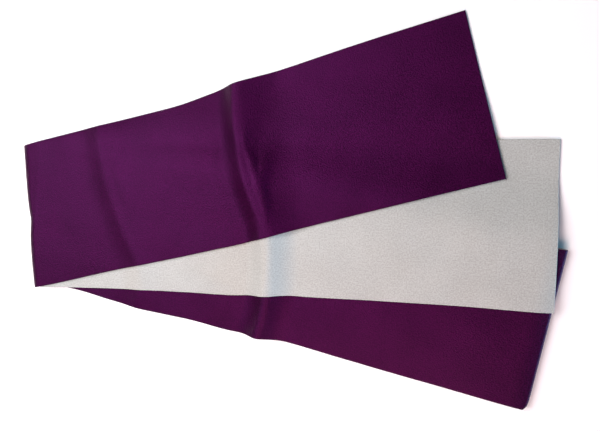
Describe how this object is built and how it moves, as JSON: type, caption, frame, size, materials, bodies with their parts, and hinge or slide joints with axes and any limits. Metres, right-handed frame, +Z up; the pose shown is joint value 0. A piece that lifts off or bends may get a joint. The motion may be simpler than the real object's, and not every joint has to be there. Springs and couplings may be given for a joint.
{
  "type": "half-width obi",
  "caption": "Half-width kimono sash of two cloths sewn together, purple face and pale reverse, folded flat with its layers fanned out.",
  "frame": {"origin": "middle of the folded obi's outline, on the surface it rests on", "axes": "+X along the middle arm from the folds to the free end, +Y across it towards the top arm, +Z up"},
  "size_m": [0.5772, 0.3786, 0.0279],
  "materials": {
    "top_arm_face": "plain purple cloth, fine weave, soft sheen",
    "top_arm_reverse": "plain pale silver cloth, fine weave, soft sheen",
    "middle_arm_reverse": "plain pale silver cloth, fine weave, soft sheen",
    "middle_arm_face": "plain purple cloth, fine weave, soft sheen",
    "bottom_arm_face": "plain purple cloth, fine weave, soft sheen",
    "bottom_arm_reverse": "plain pale silver cloth, fine weave, soft sheen",
    "hidden_layers": "five plain layers, purple underneath, purple and pale by turns at the edges"
  },
  "bodies": {
    "root": {"top_arm_face": "top_arm_face", "top_arm_reverse": "top_arm_reverse", "middle_arm_reverse": "middle_arm_reverse", "middle_arm_face": "middle_arm_face", "bottom_arm_face": "bottom_arm_face", "bottom_arm_reverse": "bottom_arm_reverse", "hidden_layers": "hidden_layers"}
  },
  "joints": []
}
